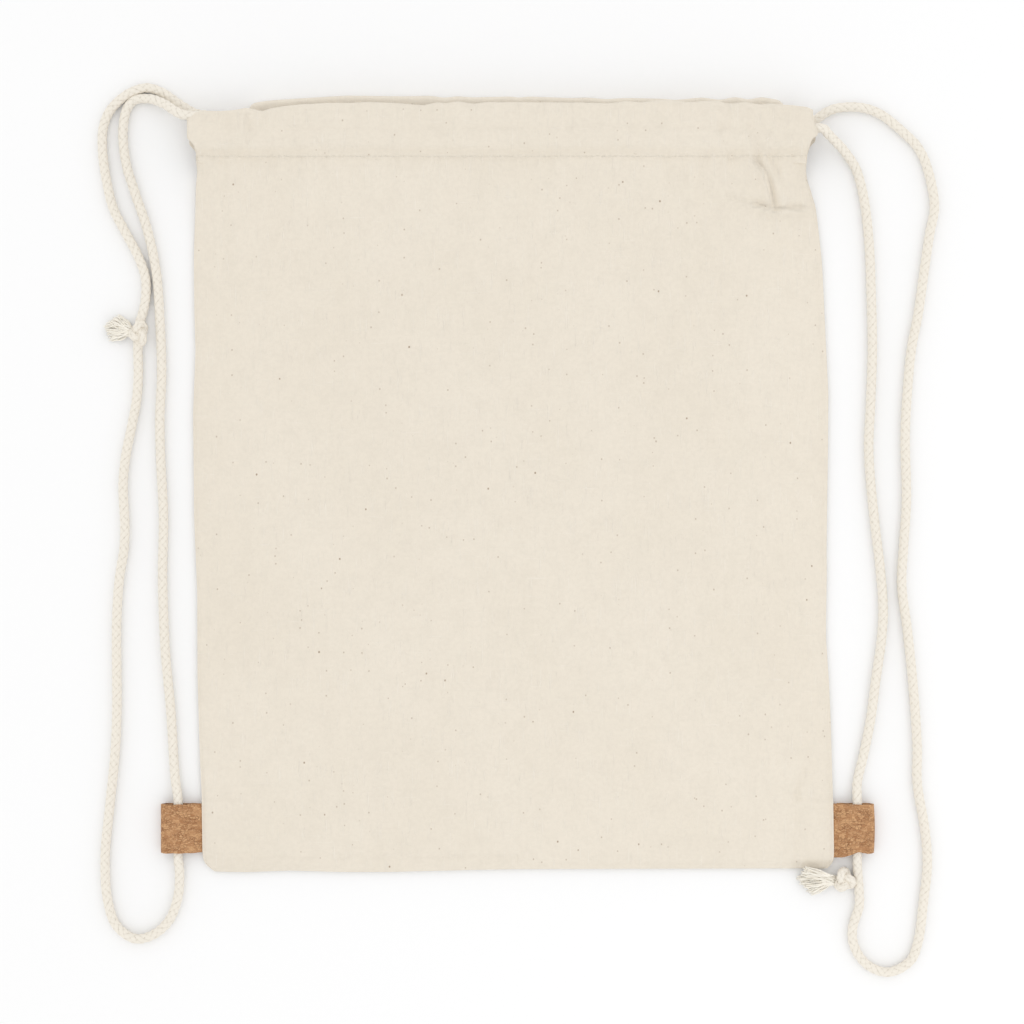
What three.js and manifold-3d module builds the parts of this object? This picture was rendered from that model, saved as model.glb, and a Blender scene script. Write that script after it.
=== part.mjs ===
// Cotton drawstring backpack, lying flat with its mouth towards +Y.
// Millimetres, +Z up. The origin is the middle of the bag's underside.
// Two woven panels are seamed together at the sides and the bottom. Each top edge is folded into a
// channel, and two cords run through both channels in opposite directions. Both ends of a cord pass
// through a folded cork tab near the bottom corner and are knotted, so each cord makes one strap.
import * as THREE from 'three';
import { mergeVertices } from 'three/addons/utils/BufferGeometryUtils.js';
import Module from 'manifold-3d';

const wasm = await Module();
wasm.setup();

// --- driving dimensions ---
const CLOTH = 0.8; // one layer of cotton, with room for its weave
const GAP = 0.3; // between pieces that touch
const BAG_BOTTOM = -215.5;
const BACK_TOP = 215.5;
const FRONT_TOP = 211.7; // the front hem lies a little lower than the back one
const HEM_LINE = 181.5; // lower edge of both channels
const MOUTH_LEFT = -182;
const MOUTH_RIGHT = 165.5; // the right corner is drawn in
const TUNNEL = 4.4; // clear height inside a channel
const CHANNEL_HEIGHT = TUNNEL + 2 * CLOTH;
const MOUTH_GAP = 5.4; // between the two channels
const FRONT_CHANNEL_Z = CHANNEL_HEIGHT + MOUTH_GAP;
const SEAM_WIDTH = 8.5; // overlocked seam allowance inside the bag
const SEAM_THICK = 1.2;
const FRONT_INSET = 2; // the front panel's side edges lie inside the back panel's
const FRONT_LOW = CLOTH + SEAM_THICK + 2 * GAP; // underside of the front panel along its seams
const SIDE_RISE = 45; // distance over which the front rises from a side seam
const BOTTOM_RISE = 52;
const CORNER_RISE = 70; // distance below the hem line over which the side edges rise
const STITCH_WIDTH = 0.8;
const STITCH_THICK = 0.4;

const CORD = 5.2; // cord diameter
const CORD_SIDES = 8;
const CORD_STEP = 13.5; // length of one straight facet of a cord
const REST_Z = 2.75; // centre height of a cord on the table
const FLAT_HALF_HEIGHT = 1.8; // the cord is squeezed flatter inside a channel
const FLAT_HALF_WIDTH = 2.8;
const BACK_RUN_Z = CHANNEL_HEIGHT / 2;
const FRONT_RUN_Z = FRONT_CHANNEL_Z + CHANNEL_HEIGHT / 2;
const LEFT_RUN_Y = 207.7;
const RIGHT_RUN_Y = 193;
const TURN_START = 11.35; // from a channel's end to the start of the cord's far turn
const TURN_STRAIGHT = 2.35;
const NOTCH_DEPTH = 14; // opening in a channel's inner wall where the far turn passes
const NOTCH_HALF_WIDTH = 4.2;
const RUN_STEPS = 24;

const TAB_OUTER = 198.1;
const TAB_TOP = -177.8;
const TAB_WIDTH = 27;
const TAB_HEIGHT = 7.8;
const TAB_WALL = 1;
const TAB_Z = TAB_HEIGHT / 2; // centre height of the cord inside a tab

// Outline of the back panel as [y, x] points from the bottom to the hem line.
const LEFT_EDGE = [
  [-215.5, -166.7], [-213.5, -170.6], [-210.3, -174.2], [-200, -175], [-153, -176.4],
  [-61, -177.8], [0, -179.7], [125, -179.8], [166, -178.5], [182, -177.4],
];
const RIGHT_EDGE = [
  [-215.5, 166.7], [-213.5, 171.6], [-211, 175], [-200, 175.6], [-129, 174.2],
  [-87, 171.7], [32, 171.5], [83, 169.6], [125, 167.5], [155, 164.1], [175, 160], [182, 160.2],
];

// --- helpers ---
function lerpTable(table, y) {
  const last = table.length - 1;
  if (y <= table[0][0]) return table[0][1];
  if (y >= table[last][0]) return table[last][1];
  const i = table.findIndex((row) => row[0] >= y);
  const [y0, x0] = table[i - 1];
  const [y1, x1] = table[i];
  return x0 + ((x1 - x0) * (y - y0)) / (y1 - y0);
}

function smooth(t) {
  const c = Math.min(Math.max(t, 0), 1);
  return c * c * (3 - 2 * c);
}

const bag = new THREE.Group();

function add(name, geometry, color, roughness = 0.95) {
  const material = new THREE.MeshStandardMaterial({ color, roughness, metalness: 0 });
  const mesh = new THREE.Mesh(geometry, material);
  mesh.name = name;
  bag.add(mesh);
  return mesh;
}

const COTTON = 0xebe3d5;
const LINING = 0xd9d0c2;
const CORD_COLOR = 0xf0eade;
const CORK = 0xbe875a;
const THREAD = 0xe6ddcc;

// A closed thin sheet over a grid of rows and columns: place(column, row) gives x, y, underside, thickness.
function sheet(columns, rows, place) {
  const positions = [];
  const index = [];
  const wide = columns + 1;
  const layer = wide * (rows + 1);
  for (const side of [0, 1]) {
    for (let r = 0; r <= rows; r++) {
      for (let c = 0; c <= columns; c++) {
        const [x, y, z, thick] = place(c, r);
        positions.push(x, y, z + side * thick);
      }
    }
  }
  for (let r = 0; r < rows; r++) {
    for (let c = 0; c < columns; c++) {
      const a = r * wide + c;
      const [b, d, e] = [a + 1, a + wide, a + wide + 1];
      index.push(a, e, b, a, d, e);
      index.push(layer + a, layer + b, layer + e, layer + a, layer + e, layer + d);
    }
  }
  const wall = (a, b) => index.push(a, b, layer + b, a, layer + b, layer + a);
  for (let c = 0; c < columns; c++) {
    wall(c, c + 1);
    wall(rows * wide + c + 1, rows * wide + c);
  }
  for (let r = 0; r < rows; r++) {
    wall((r + 1) * wide, r * wide);
    wall(r * wide + columns, (r + 1) * wide + columns);
  }
  const geometry = new THREE.BufferGeometry();
  geometry.setAttribute('position', new THREE.Float32BufferAttribute(positions, 3));
  geometry.setIndex(index);
  geometry.computeVertexNormals();
  return geometry;
}

function toSolid(geometry) {
  const plain = geometry.clone();
  plain.deleteAttribute('normal');
  plain.deleteAttribute('uv');
  const merged = mergeVertices(plain, 1e-4);
  return new wasm.Manifold(new wasm.Mesh({
    numProp: 3,
    vertProperties: new Float32Array(merged.attributes.position.array),
    triVerts: new Uint32Array(merged.index.array),
  }));
}

function fromSolid(solid) {
  const mesh = solid.getMesh();
  const geometry = new THREE.BufferGeometry();
  geometry.setAttribute('position', new THREE.BufferAttribute(mesh.vertProperties, 3));
  geometry.setIndex(new THREE.BufferAttribute(mesh.triVerts, 1));
  geometry.computeVertexNormals();
  return geometry;
}

function boxBetween(low, high) {
  const geometry = new THREE.BoxGeometry(high[0] - low[0], high[1] - low[1], high[2] - low[2]);
  geometry.translate((low[0] + high[0]) / 2, (low[1] + high[1]) / 2, (low[2] + high[2]) / 2);
  return geometry;
}

function ovalSection(halfX, halfY) {
  const shape = new THREE.Shape();
  for (let i = 0; i < CORD_SIDES; i++) {
    const angle = (2 * Math.PI * (i + 0.5)) / CORD_SIDES;
    const point = [halfX * Math.cos(angle), halfY * Math.sin(angle)];
    if (i === 0) shape.moveTo(...point);
    else shape.lineTo(...point);
  }
  shape.closePath();
  return shape;
}

function tube(points, section, steps) {
  const curve = new THREE.CatmullRomCurve3(points.map((p) => new THREE.Vector3(...p)), false, 'centripetal');
  const count = steps ?? Math.max(4, Math.round(curve.getLength() / CORD_STEP));
  return new THREE.ExtrudeGeometry(section, { steps: count, bevelEnabled: false, extrudePath: curve });
}

const roundCord = ovalSection(CORD / 2, CORD / 2);
// The section's first axis lies upright along the runs and level across the turns.
const flatRun = ovalSection(FLAT_HALF_HEIGHT, FLAT_HALF_WIDTH);
const flatTurn = ovalSection(FLAT_HALF_WIDTH, FLAT_HALF_HEIGHT);

// Points given as [x, y] lie on the table.
const onTable = (points) => points.map(([x, y, z]) => [x, y, z ?? REST_Z]);

// --- panels ---
const PANEL_TOP = HEM_LINE - GAP;
const panelRows = [-215.5, -213.5, -210.3, -200, -182, -163, -129, -87, -40, 10, 60, 95, 112, 130, 148, 165, PANEL_TOP];

add('back_panel', sheet(4, panelRows.length - 1, (c, r) => {
  const y = panelRows[r];
  const x = THREE.MathUtils.lerp(lerpTable(LEFT_EDGE, y), lerpTable(RIGHT_EDGE, y), c / 4);
  return [x, y, 0, CLOTH];
}), COTTON);

// The front panel rises from its seams like a shallow upturned tray, and meets the front channel.
const frontColumns = [0, 0.04, 0.08, 0.13, 0.3, 0.5, 0.7, 0.87, 0.92, 0.96, 1];
add('front_panel', sheet(frontColumns.length - 1, panelRows.length - 1, (c, r) => {
  const y = panelRows[r];
  const left = lerpTable(LEFT_EDGE, y) + FRONT_INSET;
  const right = lerpTable(RIGHT_EDGE, y) - FRONT_INSET;
  const x = THREE.MathUtils.lerp(left, right, frontColumns[c]);
  const fromSide = smooth(Math.min(x - left, right - x) / SIDE_RISE);
  const fromBottom = smooth((y - BAG_BOTTOM) / BOTTOM_RISE);
  const towardsHem = smooth((y - PANEL_TOP + CORNER_RISE) / CORNER_RISE);
  const rise = 1 - (1 - fromSide * fromBottom) * (1 - towardsHem);
  return [x, y, FRONT_LOW + (FRONT_CHANNEL_Z - FRONT_LOW) * rise, CLOTH];
}), COTTON);

// --- seam allowances inside the bag ---
const seamRows = [-204, -153, -100, -61, 0, 60, 125, 155, 178];
function sideSeam(edge, inward) {
  return sheet(1, seamRows.length - 1, (c, r) => {
    const outer = lerpTable(edge, seamRows[r]) + inward * (FRONT_INSET + GAP);
    const x = inward > 0 ? outer + c * SEAM_WIDTH : outer - (1 - c) * SEAM_WIDTH;
    return [x, seamRows[r], CLOTH + GAP, SEAM_THICK];
  });
}
add('left_side_seam', sideSeam(LEFT_EDGE, 1), LINING);
add('right_side_seam', sideSeam(RIGHT_EDGE, -1), LINING);
add('bottom_seam', boxBetween(
  [-160, BAG_BOTTOM + 1, CLOTH + GAP],
  [160, BAG_BOTTOM + 1 + SEAM_WIDTH, CLOTH + GAP + SEAM_THICK],
), LINING);

// --- channels: a flattened sleeve, with a notch at each end where the other side's cord turns back ---
function channel(top, z, innerWallLow) {
  const outline = new THREE.Shape();
  const [low, high] = [HEM_LINE, top];
  const corner = 1.2;
  outline.moveTo(low, z);
  outline.lineTo(high - corner, z);
  outline.lineTo(high, z + corner);
  outline.lineTo(high, z + CHANNEL_HEIGHT - corner);
  outline.lineTo(high - corner, z + CHANNEL_HEIGHT);
  outline.lineTo(low, z + CHANNEL_HEIGHT);
  outline.closePath();
  const hollow = new THREE.Path();
  hollow.moveTo(low + CLOTH, z + CLOTH);
  hollow.lineTo(low + CLOTH, z + CLOTH + TUNNEL);
  hollow.lineTo(high - CLOTH, z + CLOTH + TUNNEL);
  hollow.lineTo(high - CLOTH, z + CLOTH);
  hollow.closePath();
  outline.holes.push(hollow);
  const sleeve = new THREE.ExtrudeGeometry(outline, { depth: MOUTH_RIGHT - MOUTH_LEFT, bevelEnabled: false });
  // shape x becomes +Y, shape y becomes +Z and the depth runs along +X
  sleeve.applyMatrix4(new THREE.Matrix4().set(0, 0, 1, MOUTH_LEFT, 1, 0, 0, 0, 0, 1, 0, 0, 0, 0, 0, 1));
  let solid = toSolid(sleeve);
  const notches = [
    [MOUTH_LEFT - 1, MOUTH_LEFT + NOTCH_DEPTH, RIGHT_RUN_Y],
    [MOUTH_RIGHT - NOTCH_DEPTH, MOUTH_RIGHT + 1, LEFT_RUN_Y - 0.4],
  ];
  for (const [from, to, middle] of notches) {
    const upper = Math.min(middle + NOTCH_HALF_WIDTH, top - CLOTH - 0.1);
    const cut = boxBetween(
      [from, middle - NOTCH_HALF_WIDTH, innerWallLow - 0.2],
      [to, upper, innerWallLow + CLOTH + 0.2],
    );
    solid = solid.subtract(toSolid(cut));
  }
  return fromSolid(solid);
}
add('back_channel', channel(BACK_TOP, 0, CHANNEL_HEIGHT - CLOTH), COTTON);
add('front_channel', channel(FRONT_TOP, FRONT_CHANNEL_Z, FRONT_CHANNEL_Z), COTTON);

// --- rows of stitches along the hem line, one on each panel ---
function hemStitching(z) {
  return boxBetween(
    [MOUTH_LEFT + 6, HEM_LINE + 1, z + GAP],
    [MOUTH_RIGHT - 6, HEM_LINE + 1 + STITCH_WIDTH, z + GAP + STITCH_THICK],
  );
}
add('back_hem_stitching', hemStitching(CHANNEL_HEIGHT), THREAD);
add('front_hem_stitching', hemStitching(FRONT_CHANNEL_Z + CHANNEL_HEIGHT), THREAD);

// --- folded cork tabs: a flattened loop whose ends are sewn into the side seam ---
function corkTab(seamX) {
  const out = Math.sign(seamX);
  const reach = TAB_OUTER - Math.abs(seamX);
  const at = ([u, z]) => [seamX + out * u, z];
  const loop = (shape, points) => {
    points.forEach((p, i) => (i ? shape.lineTo(...at(p)) : shape.moveTo(...at(p))));
    shape.closePath();
    return shape;
  };
  const inner = TAB_WALL;
  const outline = loop(new THREE.Shape(), [
    [0, 0.9], [5, 0], [reach - 3.2, 0], [reach - 1, 1.2], [reach, TAB_HEIGHT / 2],
    [reach - 1, TAB_HEIGHT - 1.2], [reach - 3.2, TAB_HEIGHT], [9, TAB_HEIGHT], [0, 3.5],
  ]);
  outline.holes.push(loop(new THREE.Path(), [
    [3, 1.7], [6, inner], [reach - 3.6, inner], [reach - 1.9, 2], [reach - inner, TAB_HEIGHT / 2],
    [reach - 1.9, TAB_HEIGHT - 2], [reach - 3.6, TAB_HEIGHT - inner], [9.2, TAB_HEIGHT - inner], [3, 2.9],
  ].reverse()));
  const geometry = new THREE.ExtrudeGeometry(outline, { depth: TAB_WIDTH, bevelEnabled: false });
  geometry.rotateX(Math.PI / 2);
  geometry.translate(0, TAB_TOP, 0);
  return geometry;
}
add('left_cork_tab', corkTab(-175.9), CORK, 0.8);
add('right_cork_tab', corkTab(176.3), CORK, 0.8);

// --- cords inside the channels ---
// A cord leaves its own corner, runs through one channel, turns back at the far corner and returns
// through the other channel. side is -1 for the left cord and +1 for the right one.
function farTurn(side, y) {
  const end = side < 0 ? MOUTH_RIGHT : MOUTH_LEFT;
  const start = end + side * TURN_START;
  const bend = start - side * TURN_STRAIGHT;
  const radius = (FRONT_RUN_Z - BACK_RUN_Z) / 2;
  const arc = [];
  for (let i = 0; i <= 8; i++) {
    const angle = -Math.PI / 2 + (Math.PI * i) / 8;
    arc.push([bend - side * radius * Math.cos(angle), y, BACK_RUN_Z + radius * (1 + Math.sin(angle))]);
  }
  return tube([[start, y, BACK_RUN_Z], ...arc, [start, y, FRONT_RUN_Z]], flatTurn, 12);
}

const LEFT_FAR = MOUTH_RIGHT - TURN_START - GAP; // where the left cord's straight runs end
const RIGHT_FAR = MOUTH_LEFT + TURN_START + GAP;

const RUNS = {
  left_cord_back_run: [
    [-185.6, 210.2, REST_Z], [-182.3, 208, BACK_RUN_Z], [-176, 207, BACK_RUN_Z],
    [-166, 207.5, BACK_RUN_Z], [-150, LEFT_RUN_Y, BACK_RUN_Z], [LEFT_FAR, LEFT_RUN_Y, BACK_RUN_Z],
  ],
  left_cord_front_run: [
    [-182.2, 204, FRONT_RUN_Z], [-178, 204.2, FRONT_RUN_Z],
    [-166, 207, FRONT_RUN_Z], [-150, LEFT_RUN_Y, FRONT_RUN_Z], [LEFT_FAR, LEFT_RUN_Y, FRONT_RUN_Z],
  ],
  right_cord_back_run: [
    [168.9, 205, REST_Z], [164, 201.4, BACK_RUN_Z], [157, 196.5, BACK_RUN_Z],
    [148, 193.6, BACK_RUN_Z], [130, RIGHT_RUN_Y, BACK_RUN_Z], [RIGHT_FAR, RIGHT_RUN_Y, BACK_RUN_Z],
  ],
  right_cord_front_run: [
    [165.6, 197.2, FRONT_RUN_Z], [161, 197, FRONT_RUN_Z],
    [148, 193.3, FRONT_RUN_Z], [130, RIGHT_RUN_Y, FRONT_RUN_Z], [RIGHT_FAR, RIGHT_RUN_Y, FRONT_RUN_Z],
  ],
};
for (const [name, points] of Object.entries(RUNS)) add(name, tube(points, flatRun, RUN_STEPS), CORD_COLOR);
add('left_cord_far_turn', farTurn(-1, LEFT_RUN_Y), CORD_COLOR);
add('right_cord_far_turn', farTurn(1, RIGHT_RUN_Y), CORD_COLOR);

// --- free cords: where they leave the channels, and the two straps on the table ---
const ROUTES = {
  left_cord_corner_bend: [
    [-183.3, 204, 14.4], [-185.5, 204.5, 14.2], [-190, 207, 12.4], [-195, 210.6, 9.6],
    [-201, 213.6, 6.2], [-206, 214.9, 3.6], [-208.4, 215.1, 3],
  ],
  left_cord_outer_leg: [
    [-186.3, 210.7], [-190, 213.2], [-198, 218.5], [-206, 221], [-214, 219], [-221, 214.5], [-227, 208],
    [-230.5, 199], [-231, 187], [-229, 171], [-225, 154], [-219, 142], [-211, 127], [-207, 115],
    [-207, 103], [-209, 94], [-210.2, 90.4],
  ],
  left_cord_inner_leg: [
    [-211.2, 78.2], [-211, 61], [-212, 47], [-215, 31], [-218, 16], [-219.5, 0], [-218.5, -24],
    [-219, -36], [-221.5, -52], [-223, -74], [-223, -128], [-224, -150], [-227, -180], [-229.5, -208],
    [-228, -232], [-223, -246], [-213, -253], [-203, -251], [-194, -243], [-189, -230], [-188, -217],
    [-188.7, -207, TAB_Z], [-188.7, -176, TAB_Z], [-190.5, -163], [-193, -125], [-196, -92],
    [-197.5, -52], [-197, -18], [-198.6, 15], [-199, 37], [-198, 62], [-199, 92], [-201, 118],
    [-206, 142], [-213, 163], [-218, 180], [-219.5, 198], [-217, 210], [-212.5, 214.4], [-209.1, 215, 2.95],
  ],
  right_cord_corner_bend: [
    [166.9, 197.2, 14.4], [169, 196.6, 14.2], [172, 194, 12.4], [175.8, 190.9, 9.6],
    [180.3, 187.2, 6.2], [184, 183.3, 3.6], [185.8, 181, 3],
  ],
  right_cord_outer_leg: [
    [169.6, 205.5], [172, 207.2], [177, 209.4], [185, 210.4], [192, 210], [198, 208.4], [204, 205.4], [210.5, 200.4],
    [217, 194.6], [222.5, 189], [227, 181], [231, 167], [232.6, 154], [230, 140], [227, 120],
    [223.5, 95], [220, 77], [218, 58], [216.3, 28], [217, -9], [215.5, -33], [214.4, -56],
    [217.5, -81], [220.5, -110], [223, -146], [223, -166], [227.5, -194], [228.6, -212], [226.5, -232],
    [223.4, -255], [219, -265.5], [207, -271.7], [195, -267.5], [187.8, -257], [187, -247],
    [190.6, -235], [190.6, -226.4],
  ],
  right_cord_inner_leg: [
    [189.6, -212.4], [189.4, -207, TAB_Z], [189.4, -176, TAB_Z], [189.6, -166], [193, -151],
    [197, -131], [200, -108], [203, -87], [204, -70], [202.4, -47], [199.4, -22], [197, 2], [196, 21],
    [197, 45], [198, 75], [197.4, 105], [196.3, 133], [194, 155], [191, 169.5], [188.4, 176.9], [186.3, 180.4, 2.95],
  ],
};
for (const [name, points] of Object.entries(ROUTES)) add(name, tube(onTable(points), roundCord), CORD_COLOR);

// --- overhand knots and their frayed tails ---
function knot(center, radii) {
  const geometry = new THREE.SphereGeometry(1, 14, 9);
  geometry.scale(...radii);
  geometry.translate(...center);
  return geometry;
}

// A tail widens towards its frayed end.
function tail(from, to, radii) {
  const along = new THREE.Vector3(...to).sub(new THREE.Vector3(...from));
  const length = along.length();
  const profile = [[0, 0], [radii[0], 0], [radii[1], length], [0, length]].map((p) => new THREE.Vector2(...p));
  const geometry = new THREE.LatheGeometry(profile, 10);
  const turn = new THREE.Quaternion().setFromUnitVectors(new THREE.Vector3(0, 1, 0), along.normalize());
  geometry.applyQuaternion(turn);
  geometry.translate(...from);
  return geometry;
}

add('left_knot', knot([-210.6, 84.3, 5.5], [5.6, 5.5, 5.4]), CORD_COLOR);
add('left_cord_tail_a', tail([-217, 86.4, 3.8], [-229, 90.6, 3.9], [2, 3]), CORD_COLOR);
add('left_cord_tail_b', tail([-217, 81.6, 3.8], [-228, 83, 3.9], [2, 3]), CORD_COLOR);
add('right_knot', knot([183.6, -219.4, 5.8], [7.3, 6.3, 5.7]), CORD_COLOR);
add('right_cord_tail_a', tail([175.6, -221, 3.8], [157, -220.4, 3.9], [2, 3.2]), CORD_COLOR);
add('right_cord_tail_b', tail([176, -225.5, 3.8], [160, -228, 3.9], [2, 3.2]), CORD_COLOR);

export default bag;
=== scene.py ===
import math

import bpy
import numpy as np
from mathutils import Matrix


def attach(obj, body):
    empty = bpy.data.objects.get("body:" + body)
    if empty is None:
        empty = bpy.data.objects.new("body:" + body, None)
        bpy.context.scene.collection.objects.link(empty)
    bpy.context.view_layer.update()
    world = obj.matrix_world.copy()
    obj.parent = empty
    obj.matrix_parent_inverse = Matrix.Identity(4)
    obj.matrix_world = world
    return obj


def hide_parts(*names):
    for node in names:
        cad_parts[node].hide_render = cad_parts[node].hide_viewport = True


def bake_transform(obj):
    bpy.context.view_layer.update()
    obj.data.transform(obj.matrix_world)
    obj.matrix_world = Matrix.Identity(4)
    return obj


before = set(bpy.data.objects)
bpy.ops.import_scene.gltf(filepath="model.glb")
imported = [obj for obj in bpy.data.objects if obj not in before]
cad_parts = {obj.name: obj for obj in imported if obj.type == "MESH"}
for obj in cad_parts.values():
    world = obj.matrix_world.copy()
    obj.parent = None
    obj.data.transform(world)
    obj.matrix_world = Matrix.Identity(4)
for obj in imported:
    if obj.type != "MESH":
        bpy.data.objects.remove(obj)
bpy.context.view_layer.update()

MM = 0.001

# --- Driving sizes, in metres, in the frame of the CAD part: +Y towards the mouth, +Z up ---
CLOTH = 0.0006
CORD_DIAMETER = 0.0052
REST_Z = 0.00275  # centre of a cord on the table
TAB_Z = 0.0039  # centre of a cord inside a cork tab
HEM_LINE = 0.1815
BAG_BOTTOM = -0.2155
FRONT_LEFT_SEAM = -0.176  # side seams at the mouth, where the front starts to bend open
FRONT_RIGHT_SEAM = 0.160
BACK_RUN_Z = 0.003  # centres of the cords in the two channels
FRONT_RUN_Z = 0.0144
LEFT_RUN_Y = 0.2035  # where each cord lies in the channels
RIGHT_RUN_Y = 0.1915
LEFT_MOUTH_Y = 0.2035  # where each strap goes into the front channel
RIGHT_MOUTH_Y = 0.1965
FLAT_HEIGHT = 0.0036  # a cord squeezed inside a channel
FLAT_WIDTH = 0.0056

# --- Camera and lights ---
CAMERA_HEIGHT = 1.35
camera_data = bpy.data.cameras.new("camera")
camera_data.lens = 85
camera_data.sensor_width = 36
camera = bpy.data.objects.new("camera", camera_data)
camera.location = (-0.0028, -0.0153, CAMERA_HEIGHT)
bpy.context.scene.collection.objects.link(camera)
bpy.context.scene.camera = camera


def area_light(name, location, size, power):
    data = bpy.data.lights.new(name, "AREA")
    data.size = size
    data.energy = power
    light = bpy.data.objects.new(name, data)
    light.location = location
    x, y, z = location
    light.rotation_euler = (math.atan2(math.hypot(x, y), z), 0, math.atan2(-x, y))  # aimed at the bag
    bpy.context.scene.collection.objects.link(light)


area_light("key", (-1.1, 0.75, 1.0), 0.8, 21.0)
area_light("fill", (1.2, -0.6, 1.5), 1.6, 5.0)

world = bpy.data.worlds.new("studio")
world.use_nodes = True
background = world.node_tree.nodes["Background"].inputs
background["Color"].default_value = (1, 1, 1, 1)
background["Strength"].default_value = 1.06
bpy.context.scene.world = world
bpy.context.scene.view_settings.view_transform = "Standard"


# --- Materials ---
class Nodes:
    """A short way to write a material's node tree."""

    def __init__(self, name, roughness, specular, sheen=0.0):
        self.material = bpy.data.materials.new(name)
        self.material.use_nodes = True
        self.tree = self.material.node_tree
        self.shader = self.tree.nodes["Principled BSDF"]
        constants = {"Roughness": roughness, "Sheen Weight": sheen, "Specular IOR Level": specular}
        for socket, value in constants.items():
            self.shader.inputs[socket].default_value = value
        uv = self.tree.nodes.new("ShaderNodeUVMap")
        uv.uv_map = "UVMap"
        self.uv = uv.outputs["UV"]

    def add(self, kind, settings=None, **inputs):
        """Inputs go by name, or by number as i0, i1 and so on."""
        node = self.tree.nodes.new("ShaderNode" + kind)
        for key, value in (settings or {}).items():
            setattr(node, key, value)
        for key, value in inputs.items():
            slot = node.inputs[int(key[1:]) if key[0] == "i" else key]
            if hasattr(value, "is_output"):
                self.tree.links.new(value, slot)
            else:
                slot.default_value = value
        return node

    def scaled(self, along_u, along_v):
        return self.add("Mapping", Vector=self.uv, Scale=(along_u, along_v, 1)).outputs["Vector"]

    def noise(self, vector, detail, roughness=0.55):
        inputs = {"Scale": 1.0, "Detail": detail, "Roughness": roughness}
        return self.add("TexNoise", Vector=vector, **inputs).outputs["Fac"]

    def cells(self, vector, feature="F1"):
        return self.add("TexVoronoi", {"feature": feature}, Vector=vector, Scale=1.0).outputs

    def wave(self, direction, period, distortion):
        settings = {"wave_type": "BANDS", "bands_direction": direction}
        scale = 2 * math.pi / (20 * period)
        inputs = {"Scale": scale, "Distortion": distortion, "Detail": 1.0, "Detail Scale": 0.3}
        return self.add("TexWave", settings, Vector=self.uv, **inputs).outputs["Fac"]

    def math(self, operation, a, b):
        return self.add("Math", {"operation": operation}, i0=a, i1=b).outputs[0]

    def ramp(self, factor, low, high):
        settings = {"interpolation_type": "SMOOTHSTEP"}
        inputs = {"Value": factor, "From Min": low, "From Max": high}
        return self.add("MapRange", settings, **inputs).outputs["Result"]

    def mix(self, factor, first, second):
        return self.add("Mix", {"data_type": "RGBA"}, i0=factor, i6=first, i7=second).outputs[2]

    def tint(self, color, factor, strength, other):
        return self.mix(self.math("MULTIPLY", factor, strength), color, (*other, 1))

    def weighted(self, *terms):
        """The sum of (value, weight) pairs."""
        total, *rest = (self.math("MULTIPLY", value, weight) for value, weight in terms)
        for term in rest:
            total = self.math("ADD", total, term)
        return total

    def finish(self, color, height, distance, roughness=None):
        self.tree.links.new(color, self.shader.inputs["Base Color"])
        bump = self.add("Bump", Height=height, Distance=distance, Strength=1.0)
        self.tree.links.new(bump.outputs["Normal"], self.shader.inputs["Normal"])
        if roughness is not None:
            self.tree.links.new(roughness, self.shader.inputs["Roughness"])
        return self.material


# cells a metre across and up, the specks' size as a share of a cell, how rare they are, and strength
SEED_SPECKS = ((210, 180, 0.13, 0.5, 0.4), (85, 70, 0.06, 0.42, 0.75))


def cotton_material(name, base, shade):
    """Plain weave with slubs, a mottled tone, and seed specks: many faint ones and a few dark ones."""
    n = Nodes(name, 0.92, sheen=0.12, specular=0.15)
    warp = n.wave("X", 0.00062, 1.6)
    weft = n.wave("Y", 0.00058, 1.6)
    weave = n.math("ADD", warp, weft)
    upright_slub = n.ramp(n.noise(n.scaled(900, 60), detail=3), 0.56, 0.74)
    level_slub = n.ramp(n.noise(n.scaled(60, 800), detail=3), 0.6, 0.78)
    cloud = n.noise(n.scaled(16, 12), detail=3)
    mottle = n.noise(n.scaled(420, 420), detail=4)
    patches = n.noise(n.scaled(110, 95), detail=3)
    color = n.mix(n.ramp(cloud, 0.2, 0.8), (*base, 1), (*shade, 1))
    color = n.tint(color, n.ramp(patches, 0.4, 0.7), 0.11, [c * 0.8 for c in shade])
    color = n.tint(color, n.ramp(mottle, 0.35, 0.7), 0.1, [c * 0.72 for c in shade])
    color = n.tint(color, upright_slub, 0.2, (0.95, 0.91, 0.84))
    color = n.tint(color, level_slub, 0.2, (0.93, 0.89, 0.82))
    for cells_across, cells_up, size, rarity, strength in SEED_SPECKS:
        cells = n.cells(n.scaled(cells_across, cells_up))
        near = n.ramp(cells["Distance"], size, 0.4 * size)
        chance = n.add("SeparateColor", Color=cells["Color"]).outputs[0]
        chosen = n.ramp(chance, rarity, rarity + 0.25)
        color = n.tint(color, n.math("MULTIPLY", near, chosen), strength, (0.26, 0.16, 0.08))
    height = n.weighted((weave, 0.25), (upright_slub, 0.6), (level_slub, 0.4), (mottle, 0.9))
    return n.finish(color, height, 0.00018, n.ramp(mottle, -0.6, 1.2))


def cord_material(name, base):
    """Soft braided cotton: fine yarn lines, with painted shade in the grooves between the strands."""
    n = Nodes(name, 0.95, sheen=0.2, specular=0.1)
    groove = n.add("Attribute", {"attribute_name": "strand"}).outputs["Fac"]
    fibres = n.noise(n.scaled(2600, 700), detail=3)
    tone = n.noise(n.scaled(60, 25), detail=2)
    # painted shade: the colour darkens where the braid's relief dips into a groove
    color = n.mix(n.ramp(groove, 0.0, 0.7), (0.66, 0.6, 0.51, 1), (*base, 1))
    color = n.tint(color, fibres, 0.22, (0.62, 0.56, 0.47))
    color = n.tint(color, tone, 0.12, (0.74, 0.68, 0.58))
    height = n.weighted((fibres, 1.0), (groove, 0.4))
    return n.finish(color, height, 0.00022, n.ramp(fibres, -2.5, 0.8))


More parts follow.
